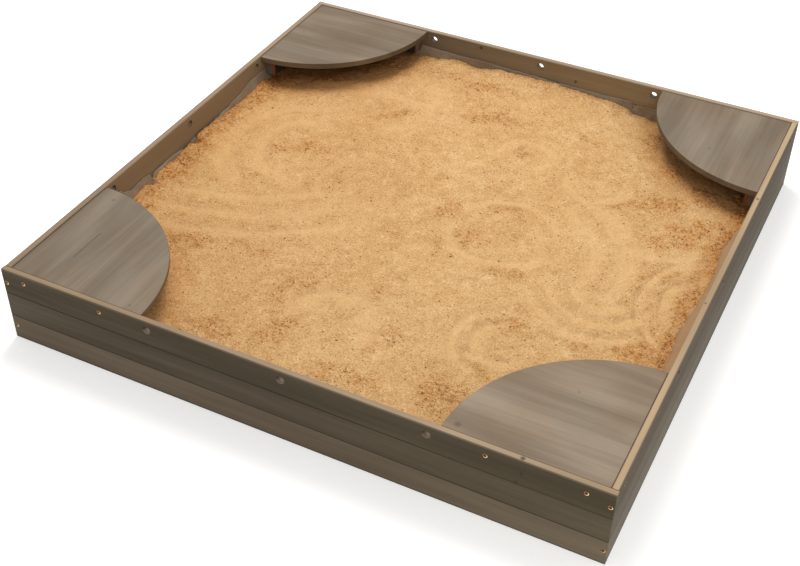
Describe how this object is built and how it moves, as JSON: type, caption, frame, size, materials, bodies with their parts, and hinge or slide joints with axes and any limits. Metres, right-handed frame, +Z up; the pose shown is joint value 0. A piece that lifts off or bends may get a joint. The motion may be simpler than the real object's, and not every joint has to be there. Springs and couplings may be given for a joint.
{
  "type": "sandbox",
  "caption": "Square wooden sandbox with quarter-round corner seats, plank walls with lashing holes, a fabric ground liner and a sand fill.",
  "frame": {"origin": "on the ground at the middle of the box", "axes": "+Z up, -Y out of the front wall, one of the two walls that run the full length, +X to its right"},
  "size_m": [1.235, 1.235, 0.172],
  "materials": {
    "wall_wood": "matte",
    "seat_wood": "matte",
    "cleat_wood": "matte",
    "screw_brass": "satin",
    "liner_fabric": "matte",
    "sand": "matte"
  },
  "bodies": {
    "root": {"back_board_bottom": "wall_wood", "back_board_middle": "wall_wood", "back_board_top": "wall_wood", "cleat_back_left_back": "cleat_wood", "cleat_back_left_side": "cleat_wood", "cleat_back_right_back": "cleat_wood", "cleat_back_right_side": "cleat_wood", "cleat_front_left_front": "cleat_wood", "cleat_front_left_side": "cleat_wood", "cleat_front_right_front": "cleat_wood", "cleat_front_right_side": "cleat_wood", "cleat_screw_back_left_back_inner": "screw_brass", "cleat_screw_back_left_back_outer": "screw_brass", "cleat_screw_back_left_side_inner": "screw_brass", "cleat_screw_back_left_side_outer": "screw_brass", "cleat_screw_back_right_back_inner": "screw_brass", "cleat_screw_back_right_back_outer": "screw_brass", "cleat_screw_back_right_side_inner": "screw_brass", "cleat_screw_back_right_side_outer": "screw_brass", "cleat_screw_front_left_front_inner": "screw_brass", "cleat_screw_front_left_front_outer": "screw_brass", "cleat_screw_front_left_side_inner": "screw_brass", "cleat_screw_front_left_side_outer": "screw_brass", "cleat_screw_front_right_front_inner": "screw_brass", "cleat_screw_front_right_front_outer": "screw_brass", "cleat_screw_front_right_side_inner": "screw_brass", "cleat_screw_front_right_side_outer": "screw_brass", "corner_screw_back_left_bottom": "screw_brass", "corner_screw_back_left_top": "screw_brass", "corner_screw_back_right_bottom": "screw_brass", "corner_screw_back_right_top": "screw_brass", "corner_screw_front_left_bottom": "screw_brass", "corner_screw_front_left_top": "screw_brass", "corner_screw_front_right_bottom": "screw_brass", "corner_screw_front_right_top": "screw_brass", "front_board_bottom": "wall_wood", "front_board_middle": "wall_wood", "front_board_top": "wall_wood", "left_board_bottom": "wall_wood", "left_board_middle": "wall_wood", "left_board_top": "wall_wood", "liner": "liner_fabric", "right_board_bottom": "wall_wood", "right_board_middle": "wall_wood", "right_board_top": "wall_wood", "sand_fill": "sand", "seat_back_left": "seat_wood", "seat_back_right": "seat_wood", "seat_front_left": "seat_wood", "seat_front_right": "seat_wood", "seat_screw_back_left_back": "screw_brass", "seat_screw_back_left_side": "screw_brass", "seat_screw_back_right_back": "screw_brass", "seat_screw_back_right_side": "screw_brass", "seat_screw_front_left_front": "screw_brass", "seat_screw_front_left_side": "screw_brass", "seat_screw_front_right_front": "screw_brass", "seat_screw_front_right_side": "screw_brass"}
  },
  "joints": []
}
